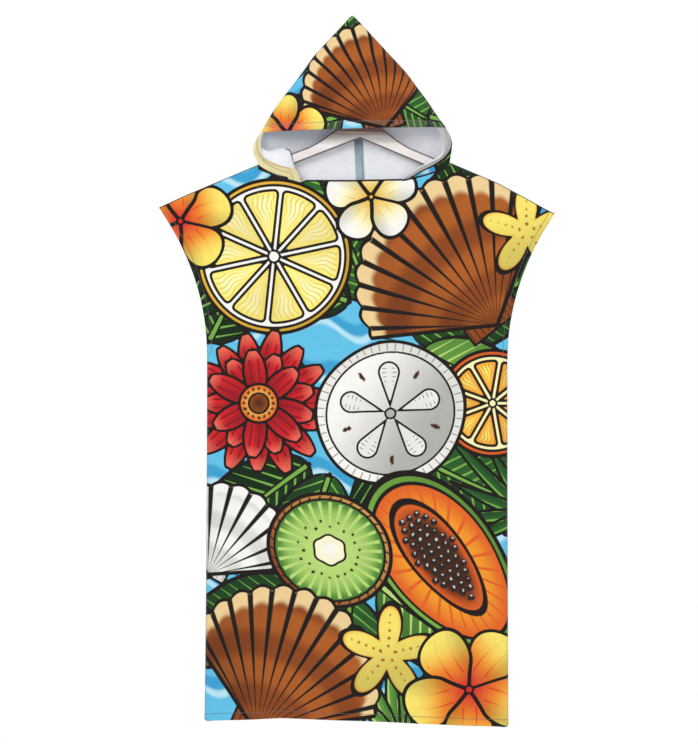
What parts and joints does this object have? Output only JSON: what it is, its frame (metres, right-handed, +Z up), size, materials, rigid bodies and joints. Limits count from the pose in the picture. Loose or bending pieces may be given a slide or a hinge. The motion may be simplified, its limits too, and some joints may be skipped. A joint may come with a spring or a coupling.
{
  "type": "hooded towel poncho on a hanger",
  "caption": "Hooded beach-towel poncho in printed microfibre, with cap sleeves, open armholes and a pointed hood, hanging on a pale wooden hanger",
  "frame": {"origin": "inside top of the hook's crook, where the hanger hangs on a rail or peg", "axes": "+Z up, +X to the right seen from the front, +Y to the back; the front panel faces -Y"},
  "size_m": [0.782, 0.0778, 1.407],
  "materials": {
    "printed_towel": "matte",
    "towel_inside": "matte",
    "pale_wood": "satin",
    "hook_steel": "polished"
  },
  "bodies": {
    "root": {"body_front": "printed_towel", "body_back": "printed_towel", "hood": "printed_towel", "hood_seam_allowance": "towel_inside", "hanger_wood": "pale_wood", "hanger_hook": "hook_steel"}
  },
  "joints": []
}
